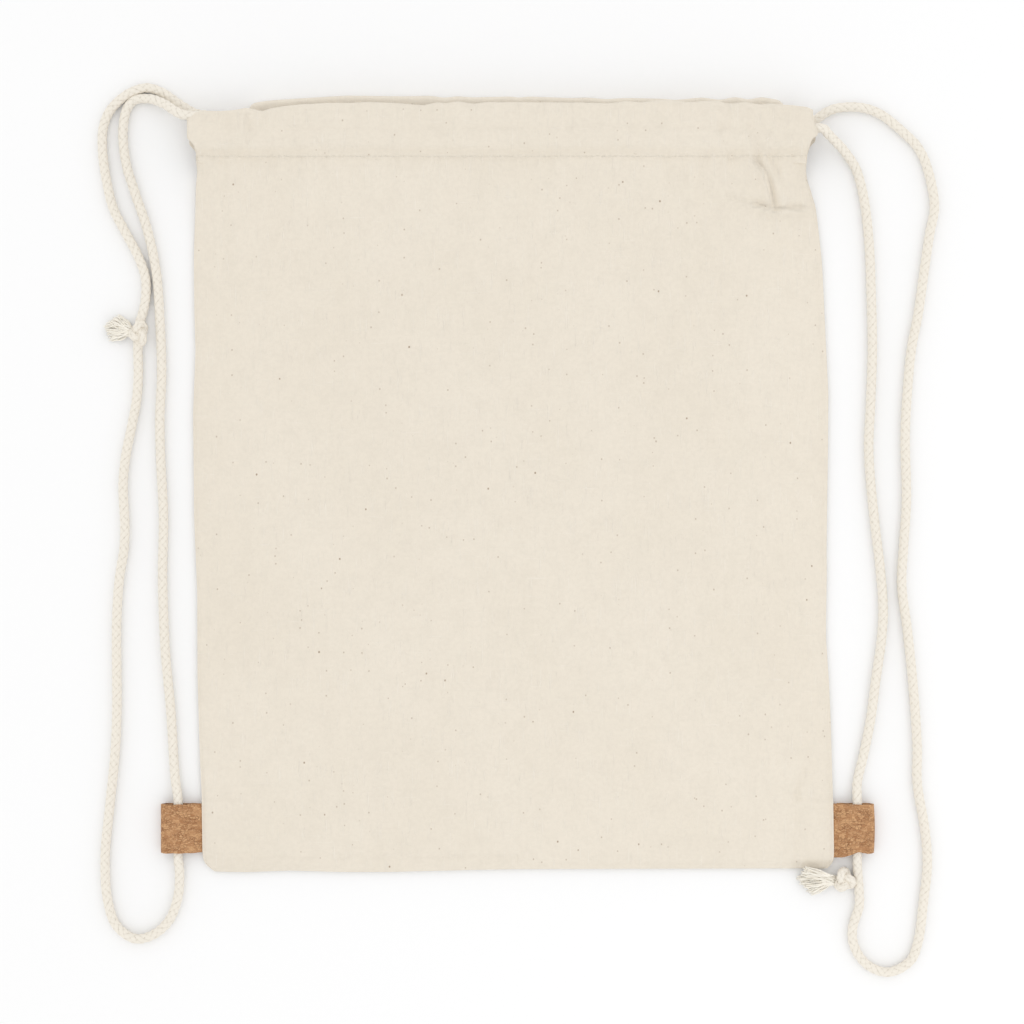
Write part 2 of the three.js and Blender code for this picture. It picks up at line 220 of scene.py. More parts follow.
def cork_material():
    """Cork skin pressed from flat granules, with dark lines between them and pale flecks."""
    n = Nodes("cork", 0.62, specular=0.35)
    bend = n.add("TexNoise", Vector=n.scaled(500, 700), Scale=1.0, Detail=3.0).outputs["Color"]
    bent = n.add("VectorMath", {"operation": "SCALE"}, i0=bend, Scale=1.3).outputs[0]
    place = n.add("VectorMath", {"operation": "ADD"}, i0=n.scaled(540, 900), i1=bent).outputs[0]
    borders = n.cells(place, "DISTANCE_TO_EDGE")["Distance"]
    tone = n.add("SeparateColor", Color=n.cells(place)["Color"]).outputs[1]
    grain = n.noise(n.scaled(900, 2600), detail=5, roughness=0.65)
    patches = n.noise(n.scaled(130, 260), detail=3)
    line = n.math("MULTIPLY", n.ramp(borders, 0.11, 0.02), n.ramp(patches, 0.3, 0.62))
    pale = n.ramp(n.noise(n.scaled(1000, 1700), detail=3), 0.58, 0.72)
    color = n.mix(tone, (0.4, 0.19, 0.08, 1), (0.66, 0.385, 0.19, 1))
    color = n.tint(color, n.ramp(grain, 0.35, 0.7), 0.45, (0.36, 0.17, 0.07))
    color = n.tint(color, pale, 0.5, (0.82, 0.6, 0.4))
    color = n.tint(color, line, 0.68, (0.2, 0.08, 0.03))
    height = n.weighted((grain, 0.6), (line, -0.6))
    return n.finish(color, height, 0.0002, n.ramp(grain, -0.9, 1.3))


def thread_material():
    n = Nodes("sewing_thread", 0.8, sheen=0.1, specular=0.2)
    twist = n.wave("DIAGONAL", 0.0005, 0.5)
    fuzz = n.noise(n.scaled(1500, 1500), detail=3)
    # painted shade: the thread is darker in the grooves of its twist and lighter on the crowns
    color = n.mix(twist, (0.76, 0.7, 0.6, 1), (0.9, 0.855, 0.765, 1))
    return n.finish(color, n.math("ADD", twist, fuzz), 0.0001, n.ramp(fuzz, -1.5, 0.9))


def floor_material():
    n = Nodes("studio_floor", 0.9, specular=0.1)
    n.uv = n.add("TexCoord").outputs["Object"]
    grain = n.noise(n.scaled(300, 300), detail=2)
    color = n.tint((0.93, 0.93, 0.93, 1), grain, 0.04, (0.8, 0.8, 0.8))
    return n.finish(color, grain, 0.00002)


COTTON = cotton_material("natural_cotton", (0.83, 0.762, 0.655), (0.805, 0.735, 0.625))
# the same cotton painted darker: painted shade for the seam allowances inside the bag
COTTON_PAINTED_SHADE = cotton_material("cotton_painted_shade_inside", (0.74, 0.68, 0.58), (0.7, 0.63, 0.53))
CORD = cord_material("braided_cotton", (0.9, 0.85, 0.76))
# the cord's cotton painted lighter: painted light that offsets the shade among the loose yarns
FRAYED_PAINTED_LIGHT = cord_material("frayed_cotton_painted_light", (1.0, 0.96, 0.87))
CORK = cork_material()
THREAD = thread_material()
FLOOR = floor_material()


# --- Mesh and curve helpers ---
def smooth(t):
    t = np.clip(t, 0, 1)
    return t * t * (3 - 2 * t)


def bell(t):
    return np.exp(-(t**2))


def mesh_object(name, vertices, faces, material, uvs=None, values=None, sharp=None):
    """vertices is an array of points, faces a list of arrays of corner numbers, and uvs one (u, v) for each
    vertex. Edges between two sharp vertices stay crisp."""
    corners = np.concatenate([f.ravel() for f in faces])
    totals = np.concatenate([np.full(len(f), f.shape[1]) for f in faces])
    mesh = bpy.data.meshes.new(name)
    mesh.vertices.add(len(vertices))
    mesh.vertices.foreach_set("co", np.asarray(vertices, np.float32).ravel())
    mesh.loops.add(len(corners))
    mesh.loops.foreach_set("vertex_index", corners.astype(np.int32))
    mesh.polygons.add(len(totals))
    mesh.polygons.foreach_set("loop_start", (np.cumsum(totals) - totals).astype(np.int32))
    mesh.polygons.foreach_set("use_smooth", np.ones(len(totals), bool))
    mesh.update(calc_edges=True)
    if uvs is not None:
        layer = mesh.uv_layers.new(name="UVMap")
        layer.data.foreach_set("uv", np.asarray(uvs, np.float32)[corners].ravel())
    if values is not None:
        attribute = mesh.attributes.new("strand", "FLOAT", "POINT")
        attribute.data.foreach_set("value", np.asarray(values, np.float32).ravel())
    if sharp is not None:
        ends = np.empty(len(mesh.edges) * 2, np.int32)
        mesh.edges.foreach_get("vertices", ends)
        ends = ends.reshape(-1, 2)
        mesh.edges.foreach_set("use_edge_sharp", sharp[ends[:, 0]] & sharp[ends[:, 1]])
    mesh.materials.append(material)
    piece = bpy.data.objects.new(name, mesh)
    bpy.context.scene.collection.objects.link(piece)
    return piece


def grid_quads(rows, columns, offset=0, wrap=False):
    r = np.arange(rows - 1)[:, None]
    c = np.arange(columns if wrap else columns - 1)[None, :]
    d = (c + 1) % columns
    quads = [r * columns + c, r * columns + d, (r + 1) * columns + d, (r + 1) * columns + c]
    return np.stack(np.broadcast_arrays(*quads), -1).reshape(-1, 4) + offset


def surface_normals(points):
    across = np.gradient(points, axis=1)
    along = np.gradient(points, axis=0)
    normals = np.cross(across, along)
    return normals / np.maximum(np.linalg.norm(normals, axis=2, keepdims=True), 1e-12)


def sheet_object(name, points, normals, uvs, thickness, material):
    """A closed thin sheet around a grid of middle points, with its edges kept crisp."""
    rows, columns = points.shape[:2]
    count = rows * columns
    upper = points + normals * thickness / 2
    lower = points - normals * thickness / 2
    vertices = np.concatenate([upper.reshape(-1, 3), lower.reshape(-1, 3)])
    top = grid_quads(rows, columns)
    index = np.arange(count).reshape(rows, columns)
    loop = np.concatenate([index[0, :-1], index[:-1, -1], index[-1, :0:-1], index[:0:-1, 0]])
    after = np.roll(loop, -1)
    rim = np.stack([after, loop, loop + count, after + count], -1)
    edge = np.zeros(2 * count, bool)
    edge[rim] = True
    both_uvs = np.tile(uvs.reshape(-1, 2), (2, 1))
    return mesh_object(name, vertices, [top, top[:, ::-1] + count, rim], material, both_uvs, sharp=edge)


def spline(points, step):
    """A centripetal Catmull-Rom curve through the points, resampled every step."""
    p = np.array(points, float)
    p = np.vstack([2 * p[0] - p[1], p, 2 * p[-1] - p[-2]])
    pieces = []
    for a, b, c, d in zip(p, p[1:], p[2:], p[3:]):
        t1 = np.linalg.norm(b - a) ** 0.5
        t2 = t1 + np.linalg.norm(c - b) ** 0.5
        t3 = t2 + np.linalg.norm(d - c) ** 0.5
        t = np.linspace(t1, t2, 24, endpoint=False)[:, None]
        ab = a + (b - a) * t / t1
        bc = b + (c - b) * (t - t1) / (t2 - t1)
        cd = c + (d - c) * (t - t2) / (t3 - t2)
        abc = ab + (bc - ab) * t / t2
        bcd = bc + (cd - bc) * (t - t1) / (t3 - t1)
        pieces.append(abc + (bcd - abc) * (t - t1) / (t2 - t1))
    dense = np.vstack(pieces + [p[-2:-1]])
    length = lengths_along(dense)
    count = max(4, round(length[-1] / step)) + 1
    at = np.linspace(0, length[-1], count)
    return np.stack([np.interp(at, length, dense[:, i]) for i in range(3)], 1)


def frames_along(path, up=(0, 0, 1)):
    """The directions across a path and upright from it."""
    tangents = np.gradient(path, axis=0)
    tangents /= np.linalg.norm(tangents, axis=1, keepdims=True)
    side = np.cross(up, tangents[0])
    side /= np.linalg.norm(side)
    sides = []
    for tangent in tangents:
        side = side - tangent * (side @ tangent)
        side = side / np.linalg.norm(side)
        sides.append(side)
    sides = np.array(sides)
    return sides, np.cross(tangents, sides)


def lengths_along(path):
    return np.concatenate([[0], np.cumsum(np.linalg.norm(np.diff(path, axis=0), axis=1))])


BRAID_STRANDS = 4  # strands that run each way round the cord
BRAID_PITCH = 0.0040  # distance along the cord from one crossing to the next
BRAID_DEPTH = 0.17  # groove depth as a share of the radius


def braid_height(angle, along):
    """0 in the grooves to 1 on a strand's crown, for strands that cross over and under each other."""
    u = angle * BRAID_STRANDS / (2 * math.pi) + along / BRAID_PITCH
    v = angle * BRAID_STRANDS / (2 * math.pi) - along / BRAID_PITCH
    over = (np.floor(u) + np.floor(v)) % 2 < 1
    across = np.where(over, u, v) % 1
    lengthwise = np.where(over, v, u) % 1
    crown = np.sqrt(np.clip(1 - (2 * across - 1) ** 2, 0, 1))
    dip = np.sin(math.pi * lengthwise) ** 0.5
    return crown * (0.45 + 0.55 * dip)


def braided(name, path, size, sides=32, ends=0.6):
    """A braided cord along path. size is its width and height, each one number or one for every point of
    the path, and ends is the share of it that is left at the two tips."""
    across, upright = frames_along(path)
    along = lengths_along(path)
    angle = np.linspace(0, 2 * math.pi, sides, endpoint=False)
    height = braid_height(angle[None, :], along[:, None])
    swell = 1 + BRAID_DEPTH * (height - 0.75)
    half_wide, half_high = (np.broadcast_to(side, len(path)) / 2 for side in size)
    tip = np.minimum(along, along[-1] - along) / half_high
    swell = swell * (ends + (1 - ends) * np.sqrt(np.clip(tip, 0, 1)))[:, None]
    ring = (
        across[:, None, :] * (half_wide[:, None] * np.cos(angle))[:, :, None]
        + upright[:, None, :] * (half_high[:, None] * np.sin(angle))[:, :, None]
    )
    points = path[:, None, :] + ring * swell[:, :, None]
    rows = len(path)
    vertices = np.vstack([points.reshape(-1, 3), path[:1], path[-1:]])
    first, last = rows * sides, rows * sides + 1
    column = np.arange(sides)
    after = (column + 1) % sides
    start = np.stack([np.full(sides, first), after, column], -1)
    base = (rows - 1) * sides
    finish = np.stack([np.full(sides, last), base + column, base + after], -1)
    girth = math.pi * (half_wide[0] + half_high[0])
    uvs = np.broadcast_arrays(angle[None, :] / (2 * math.pi) * girth, along[:, None])
    uvs = np.vstack([np.stack(uvs, -1).reshape(-1, 2), [[0, 0], [0, along[-1]]]])
    values = np.concatenate([height.ravel(), [0.3, 0.3]])
    faces = [grid_quads(rows, sides, wrap=True), start, finish]
    return mesh_object(name, vertices, faces, CORD, uvs, values)


# --- Free cords: the two straps ---
LEFT_OUTER = [
    (-0.1863, 0.2107), (-0.190, 0.2132), (-0.198, 0.2185), (-0.206, 0.221), (-0.214, 0.219),
    (-0.221, 0.2145), (-0.227, 0.208), (-0.2305, 0.199), (-0.231, 0.187), (-0.229, 0.171),
    (-0.225, 0.154), (-0.219, 0.142), (-0.211, 0.127), (-0.207, 0.115), (-0.207, 0.103),
    (-0.209, 0.094), (-0.2102, 0.0904),
]
LEFT_INNER = [
    (-0.2112, 0.0782), (-0.211, 0.061), (-0.212, 0.047), (-0.215, 0.031), (-0.218, 0.016),
    (-0.2195, 0), (-0.2185, -0.024), (-0.219, -0.036), (-0.2215, -0.052), (-0.223, -0.074),
    (-0.223, -0.128), (-0.224, -0.15), (-0.227, -0.18), (-0.2295, -0.208), (-0.228, -0.232),
    (-0.223, -0.246), (-0.213, -0.253), (-0.203, -0.251), (-0.194, -0.243), (-0.189, -0.23),
    (-0.188, -0.217), (-0.1887, -0.207, TAB_Z), (-0.1887, -0.176, TAB_Z), (-0.1905, -0.163),
    (-0.193, -0.125), (-0.196, -0.092), (-0.1975, -0.052), (-0.197, -0.018), (-0.1986, 0.015),
    (-0.199, 0.037), (-0.198, 0.062), (-0.199, 0.092), (-0.201, 0.118), (-0.206, 0.142),
    (-0.213, 0.163), (-0.218, 0.18), (-0.2195, 0.198), (-0.217, 0.21), (-0.2125, 0.2144),
    (-0.206, 0.2149, 0.0036), (-0.201, 0.2136, 0.0062), (-0.195, 0.2106, 0.0096),
    (-0.190, 0.207, 0.0124), (-0.1855, 0.2045, 0.0142),
]
RIGHT_OUTER = [
    (0.1696, 0.2055), (0.172, 0.2072), (0.177, 0.2094), (0.185, 0.2104), (0.192, 0.21),
    (0.198, 0.2084), (0.204, 0.2054), (0.2105, 0.2004), (0.217, 0.1946), (0.2225, 0.189),
    (0.227, 0.181), (0.231, 0.167), (0.2326, 0.154), (0.23, 0.14), (0.227, 0.12), (0.2235, 0.095),
    (0.22, 0.077), (0.218, 0.058), (0.2163, 0.028), (0.217, -0.009), (0.2155, -0.033),
    (0.2144, -0.056), (0.2175, -0.081), (0.2205, -0.11), (0.223, -0.146), (0.223, -0.166),
    (0.2275, -0.194), (0.2286, -0.212), (0.2265, -0.232), (0.2234, -0.255), (0.219, -0.2655),
    (0.207, -0.2717), (0.195, -0.2675), (0.1878, -0.257), (0.187, -0.247), (0.1906, -0.235),
    (0.1906, -0.2264),
]
RIGHT_INNER = [
    (0.1896, -0.2124), (0.1894, -0.207, TAB_Z), (0.1894, -0.176, TAB_Z), (0.1896, -0.166),
    (0.193, -0.151), (0.197, -0.131), (0.2, -0.108), (0.203, -0.087), (0.204, -0.07),
    (0.2024, -0.047), (0.1994, -0.022), (0.197, 0.002), (0.196, 0.021), (0.197, 0.045),
    (0.198, 0.075), (0.1974, 0.105), (0.1963, 0.133), (0.194, 0.155), (0.191, 0.1695),
    (0.1884, 0.1769), (0.184, 0.1833, 0.0036), (0.1803, 0.1872, 0.0062), (0.1758, 0.1909, 0.0096),
    (0.172, 0.194, 0.0124), (0.169, 0.1966, 0.0142),
]
# where each cord comes out of the back channel and goes into the front one
EXITS = {
    "left": ([(-0.172, 0.2055, BACK_RUN_Z), (-0.179, 0.2066, BACK_RUN_Z)],
             [(-0.180, LEFT_MOUTH_Y, FRONT_RUN_Z), (-0.172, 0.203, FRONT_RUN_Z)]),
    "right": ([(0.154, 0.1955, BACK_RUN_Z), (0.162, 0.200, BACK_RUN_Z)],
              [(0.163, RIGHT_MOUTH_Y, FRONT_RUN_Z), (0.154, 0.1945, FRONT_RUN_Z)]),
}
RING_STEP = 0.00055
FLATTENED_END = 0.018  # how much of a strap gets squeezed flat towards the channels


def on_table(points):
    return [p if len(p) == 3 else (*p, REST_Z) for p in points]


def strap(side, outer, inner):
    start, end = EXITS[side]
    path = spline(start + on_table(outer) + on_table(inner) + end, RING_STEP)
    place = np.arange(len(path))
    free = smooth(np.minimum(place, place[::-1]) * RING_STEP / FLATTENED_END)
    wide = FLAT_WIDTH + (CORD_DIAMETER - FLAT_WIDTH) * free
    high = FLAT_HEIGHT + (CORD_DIAMETER - FLAT_HEIGHT) * free
    piece = braided(side + "_strap_cord", path, (wide, high))
    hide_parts(side + "_cord_outer_leg", side + "_cord_inner_leg", side + "_cord_corner_bend")
    return piece, path


left_strap, left_path = strap("left", LEFT_OUTER, LEFT_INNER)
right_strap, right_path = strap("right", RIGHT_OUTER, RIGHT_INNER)
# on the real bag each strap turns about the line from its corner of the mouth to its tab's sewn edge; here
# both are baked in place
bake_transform(left_strap)
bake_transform(right_strap)


# --- Cords inside the channels: out through one, round at the far corner, back through the other ---
# the runs' y, and the x where the turn at the far corner starts
INSIDE = {"left": (LEFT_RUN_Y, 0.1542), "right": (RIGHT_RUN_Y, -0.1704)}
INSIDE_STEP = 0.0012
SETTLE_LENGTH = 0.025  # a run reaches its place in the channel over this length
TURN_STRAIGHT = 0.0024
FLAT = (FLAT_WIDTH, FLAT_HEIGHT)


def blend_front(piece):
    """Bakes the piece's placement into its mesh. On the real bag the front opens most in the middle and
    stays with the back at its side seams.
    """
    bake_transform(piece)


def inside_cord(side):
    """The back run with its far turn, and the front run in two halves that meet on the bag's middle line.
    """
    (start, _), (_, finish) = EXITS[side]
    run_y, turn_x = INSIDE[side]
    out = 1 if turn_x > 0 else -1
    settle_x = start[0] + out * SETTLE_LENGTH
    bend_x = turn_x + out * TURN_STRAIGHT
    radius = (FRONT_RUN_Z - BACK_RUN_Z) / 2
    route = [start, (settle_x, run_y, BACK_RUN_Z), (turn_x, run_y, BACK_RUN_Z)]
    for i in range(9):
        angle = -math.pi / 2 + math.pi * i / 8
        height = BACK_RUN_Z + radius * (1 + math.sin(angle))
        route.append((bend_x + out * radius * math.cos(angle), run_y, height))
    path = spline(route + [(turn_x, run_y, FRONT_RUN_Z)], INSIDE_STEP)
    piece = braided(side + "_cord_in_back_channel", path, FLAT, 20, ends=0.9)
    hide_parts(side + "_cord_back_run", side + "_cord_far_turn")
    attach(piece, "bag_back")
    middle = (0, run_y, FRONT_RUN_Z)
    near = [finish, (settle_x, run_y, FRONT_RUN_Z), middle]
    far = [middle, (turn_x / 2, run_y, FRONT_RUN_Z), (turn_x, run_y, FRONT_RUN_Z)]
    for part, points in (("near", near), ("far", far)):
        path = spline(points, INSIDE_STEP)
        half = braided(f"{side}_cord_in_front_channel_{part}", path, FLAT, 20, ends=0.9)
        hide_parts(side + "_cord_front_run")
        blend_front(half)


inside_cord("left")
inside_cord("right")


# --- Cloth: each panel is one sheet that runs up to the hem line, round the channel and back inside ---
def table(points):
    """A smoothed outline, given as (position, value) pairs in millimetres."""
    p = np.array(points, float) * MM
    at = np.arange(p[0, 0], p[-1, 0] + 0.0005, 0.001)
    values = np.interp(at, p[:, 0], p[:, 1])
    kernel = np.array([1, 3, 5, 3, 1]) / 13
    padded = np.concatenate([[values[0]] * 2, values, [values[-1]] * 2])
    values = np.convolve(padded, kernel, "valid")
    return lambda x: np.interp(x, at, values)


left_edge = table([
    (-216, -167), (-213.5, -171.5), (-210, -174.4), (-204, -174.9), (-176, -175.3), (-153, -176.4),
    (-106, -177.8), (-61, -177.9), (-17, -179.7), (40, -180.2), (75, -178.9), (96, -179.5),
    (125, -179.8), (151, -178.8), (166, -178.5), (176, -177.4), (184, -177.4), (190, -178.6),
    (194, -182), (207, -182),
])
right_edge = table([
    (-216, 171.5), (-214.6, 173.6), (-213, 175), (-210, 175.9), (-206, 176.1), (-174, 175.6),
    (-129, 174.2), (-110, 173.3), (-87, 171.7), (-36, 170.8), (14, 171.2), (51, 171.3), (83, 169.6),
    (102, 168.7), (125, 167.5), (145, 165.4), (155, 164.1), (162, 162), (169, 160.2), (175, 159.8),
    (182, 160.2), (189, 161.6), (194, 163), (197, 165.8), (204, 165.4), (207, 163.5),
])
front_top = table([
    (-184, 205.2), (-181.5, 205.3), (-172.8, 206.1), (-163.3, 205.9), (-158.3, 206.3), (-149.2, 207.8),
    (-145, 206.9), (-141.2, 205.7), (-135.2, 207.6), (-124.7, 209.2), (-105.6, 210.4), (-91, 210.4),
    (-83, 210.9), (-67, 210.4), (-51.5, 209), (-43.7, 210.9), (-39.8, 210.1), (-32.8, 211.2),
    (-24.2, 209.9), (-15.7, 210.9), (13, 210.7), (36, 210.6), (50.5, 210.1), (60.6, 211.5),
    (68.3, 210.5), (75, 211.7), (86.3, 212), (93.6, 210.7), (103, 211.5), (111, 211.2), (118.3, 209.9),
    (126, 211), (133, 209.5), (140.2, 210.2), (147.5, 209.4), (160, 208.4), (164, 206.4), (167, 202.6),
])
back_top = table([
    (-184, 204), (-160, 205), (-149.4, 207.4), (-148, 212), (-139, 213.6), (-120, 214.9), (-95, 216.4),
    (-64, 216), (-48.3, 216.3), (-40.6, 215.2), (-32.8, 216.1), (-25, 215.4), (-3.3, 215.9),
    (1.4, 215.2), (6, 215.9), (31, 215), (38.8, 215.4), (49.7, 214.4), (60.3, 215.1), (81, 214.7),
    (88.3, 214), (102.8, 215.4), (113.3, 214), (121.6, 215.7), (128.8, 214.2), (136.1, 215.6),
    (145.5, 214.1), (148.2, 212.2), (149.8, 207.5), (160, 206), (167, 203),
])
bottom_edge = table([
    (-180, -215.3), (-166, -215.6), (-151, -215.9), (-127, -215), (-99, -215.8), (-72, -215.8),
    (-47, -215.2), (-23, -214.6), (2, -214.2), (60, -214), (176, -213.8),
])
# how far the back panel shows beyond the front one on the right
back_peek = table([
    (-216, 0.4), (-80, 0.6), (-50, 1.6), (40, 2.2), (120, 2.4), (165, 2), (178, 0.4), (216, 0.4),
])
LEFT_PEEK = 0.0003

HALF_WIDTH = 0.176
EDGE_OFFSETS = (0, 0.25, 0.5, 0.8, 1.2, 1.7, 2.3, 3.0, 4.0, 5.2)  # columns beside a seam, in millimetres
COLUMN_STEP = 0.0014
PANEL_STEP = 0.0015
SEAM_TOP = 0.170  # above this the front and back are free of each other at the sides
CHANNEL_TOP = 0.2115  # where the side outlines are read for a channel's fold
CHANNEL_WIDTH = 30  # from the hem line to the fold, in millimetres
HIDDEN_HEM = 0.002  # how far the turned-in layer reaches below the hem line
TAB_TOP_Y = -0.1778
TAB_LOW_Y = -0.2049
RIGHT_TAB_SLANT = 0.0034  # the right tab reaches lower where it is sewn in
TAB_LIFT = 0.0013  # the front lies this much higher over a tab's sewn ends


def column_places():
    """Column positions from -1 at the left edge to 1 at the right one, closer together beside the seams."""
    edge = np.array(EDGE_OFFSETS) * MM / HALF_WIDTH
    inner = np.linspace(edge[-1], 1, round((1 - edge[-1]) * HALF_WIDTH / COLUMN_STEP) + 1)[1:]
    left = np.concatenate([edge, inner]) - 1
    return np.concatenate([left, -left[-2::-1]])[None, :]


def between_edges(places, left, right):
    return np.where(places < 0, -left * places, right * places)


def panel_y(f, x):
    """Rows run straight across the bag, except near its slightly uneven bottom edge."""
    y = BAG_BOTTOM + f * (HEM_LINE - BAG_BOTTOM)
    return y + (bottom_edge(x) - BAG_BOTTOM) * math.exp(-(y - BAG_BOTTOM) / 0.02)


def beside_tab(x, y):
    """1 at the height where the cork tabs are sewn into the side seams, 0 elsewhere."""
    low = TAB_LOW_Y - np.where(x > 0, RIGHT_TAB_SLANT, 0)
    return smooth((y - low + 0.003) / 0.0025) * smooth((TAB_TOP_Y + 0.003 - y) / 0.0025)


def waves(x, y, wavelength, amplitude, count, seed):
    """Gentle undulation: a sum of plane waves in all directions."""
    draw = np.random.default_rng(seed)
    total = np.zeros_like(x)
    for _ in range(count):
        turn = draw.uniform(0, math.pi)
        phase = draw.uniform(0, 2 * math.pi)
        k = 2 * math.pi / (wavelength * draw.uniform(0.7, 1.5))
        total += np.sin(k * (x * math.cos(turn) + y * math.sin(turn)) + phase)
    return amplitude * total / math.sqrt(count)


def crease(x, y, points, width, depth, lift):
    """A soft fold along a line: a groove with a low ridge on its right, seen from its first point."""
    best = np.full_like(x, 1e3)
    signed = np.zeros_like(x)
    for a, b in zip(points, points[1:]):
        a, b = np.array(a) * MM, np.array(b) * MM
        length = np.linalg.norm(b - a)
        d = (b - a) / length
        t = (x - a[0]) * d[0] + (y - a[1]) * d[1]
        side = (x - a[0]) * d[1] - (y - a[1]) * d[0]
        beyond = np.maximum(np.maximum(-t, t - length), 0)
        distance = np.hypot(side, beyond * 0.6)
        signed = np.where(distance < best, side, signed)
        best = np.minimum(best, distance)
    ridge = lift * bell((signed - 1.5 * width) / (1.3 * width)) * bell(best / (4 * width))
    return ridge - depth * bell(best / width)


CREASES = [  # points in millimetres, then width, depth and the ridge beside it
    ([(-149.5, 208), (-148.6, 200), (-147.8, 190)], 1.5, 1.2, 1.0),
    ([(-141.5, 209), (-140, 201)], 1.7, 1.0, 0.5),
    ([(133, 179), (138, 173), (140, 166), (142, 156)], 1.6, 2.5, 2.0),
    ([(118, 159.5), (130, 156)], 1.6, 0.9, 0.7),
    ([(134, 155), (143, 152.5), (157, 154)], 1.5, 2.2, 1.9),
    ([(142, 174), (148, 166), (150, 158)], 2.4, 1.1, 0.9),
    ([(96, 178), (96.5, 145), (95.5, 112)], 3.2, -1.3, 0.0),
    ([(111, 208), (113, 196), (117, 182)], 2.2, 1.0, 0.8),
    ([(128, 208), (129, 197), (133, 185)], 2.0, 1.0, 0.8),
    ([(137.5, 187), (140, 181), (144, 174)], 1.6, 0.9, 0.7),
    ([(156, -174), (156.5, -195), (156, -214)], 2.0, 0.9, 0.7),
    ([(160, -160), (153, -179)], 2.0, 0.9, 0.8),
    ([(-165, 176), (-160, 150), (-162, 120)], 4.0, 0.9, 0.7),
    ([(-172, -150), (-160, -190)], 4.0, 0.3, 0.3),
]


def gathers(x, near_corner, seed, size):
    """Small upright puckers across the cloth, strongest near the corners."""
    draw = np.random.default_rng(seed)
    total = np.zeros_like(x)
    for wavelength in (0.0078, 0.0105, 0.0143, 0.021):
        total += np.sin(2 * math.pi * x / wavelength + draw.uniform(0, 6.28) + 1.5 * np.sin(x * 60))
    return size * np.maximum(total / 4 * (0.35 + 0.65 * near_corner), -0.3)


HEM_GATHERS = (8, 0.002)  # seed and size
TOP_GATHERS = (21, 0.0024)
BACK_GATHERS = (31, 0.0008)


def hem_gathers(x, near_corner, inside, fade):
    """The gathers beside the stitch line, which the layers on both sides of it share."""
    return gathers(x, near_corner, *HEM_GATHERS) * fade * smooth(inside / 0.004)


def sheet_rows():
    """Each row of a sheet as (kind, position): up the panel, over the channel, back inside it."""
    count = round((HEM_LINE - BAG_BOTTOM) / PANEL_STEP)
    rows = [("panel", i / count) for i in range(count + 1)]
    rows += [("outer", i / 16) for i in range(1, 16)]
    rows += [("fold", i / 8) for i in range(9)]
    rows += [("inner", 1 - i / 14) for i in range(1, 16)]
    return rows


def outline_level(kind, f):
    """The height up the bag at which a row meets the side outlines."""
    if kind == "panel":
        return BAG_BOTTOM + f * (HEM_LINE - BAG_BOTTOM)
    return CHANNEL_TOP if kind == "fold" else HEM_LINE + f * (CHANNEL_TOP - HEM_LINE)


def sheet_grid(rows):
    """The rows' points, and how far along the cloth each one lies."""
    points = np.array([np.stack(row, -1)[0] for row in rows])
    steps = np.linalg.norm(np.diff(points, axis=0), axis=2)
    return points, np.concatenate([np.zeros_like(steps[:1]), np.cumsum(steps, axis=0)])


FRONT_PINCH = 0.0124  # height of the front at its stitch line
FRONT_INNER = 0.0119  # heights of the front channel's two layers
FRONT_OUTER = 0.0167
FOLD_RADIUS = (FRONT_OUTER - FRONT_INNER) / 2
OVER_CORDS = FRONT_RUN_Z + FLAT_HEIGHT / 2 + 0.0001
COVER_LINES = (0.2035, 0.1922)  # along these the channel's outer layer stays above the cords
PUFF = 0.0068  # how far the front's middle stands above its seams
SEAM_Z = 0.0021
WALL_WIDTH = 0.0005  # of the short upright side of the front, above the seam
STITCH_GROOVE = 0.0003


def channel_profile(f, sagging):
    """A channel's upper layer, from 0 at the stitch line to 1 over the two cords inside."""
    y = f * CHANNEL_WIDTH
    over = smooth(y / 6.5)
    sag = 0.2 * bell((y - 16.5) / 3.4) + 0.1 * bell((y - 6) / 2.2)
    return over - sag * sagging


def stitch_groove(y):
    return STITCH_GROOVE * bell((y - HEM_LINE) / 0.0012)


def front_panel_height(x, y, left, right, corner):
    """The front panel from its seams, up a short side wall, to its soft raised middle."""
    wall = np.where(x < 0, LEFT_PEEK, back_peek(y)) + WALL_WIDTH
    inside = np.minimum(x - left, right - x)
    d = np.maximum(inside - wall, 0)
    up = y - bottom_edge(x)
    toward_hem = smooth((y - 0.112) / 0.0695)
    ramp = 0.045 - 0.033 * smooth((y - 0.10) / 0.07)
    rise = smooth(d / ramp) * smooth(up / 0.052)
    edge_z = SEAM_Z + 0.0045 * smooth((y - 0.12) / 0.055) + TAB_LIFT * beside_tab(x, y)
    edge_z = edge_z + (FRONT_PINCH - 0.0006 - edge_z) * smooth((y - 0.172) / 0.0095)
    crown = PUFF + SEAM_Z
    crown = crown + (FRONT_PINCH - crown) * toward_hem
    roll = 1 - np.exp(-np.minimum(d, up + 0.0002) / 0.0014)
    z = edge_z + 0.001 * roll + (crown - edge_z - 0.001) * rise
    calm = smooth(d / 0.012) * smooth(up / 0.012) * (1 - 0.8 * smooth((y - 0.16) / 0.018))
    z = z + calm * (waves(x, y, 0.11, 0.0012, 6, 3) + waves(x, y, 0.042, 0.0004, 7, 5))
    z = z + hem_gathers(x, corner, d, np.exp((y - HEM_LINE) / 0.018)) - stitch_groove(y)
    foot = SEAM_Z + TAB_LIFT * beside_tab(x, y)
    foot = foot + (edge_z - foot) * smooth((y - SEAM_TOP) / 0.0115)
    return foot + (z - foot) * smooth(inside / wall)


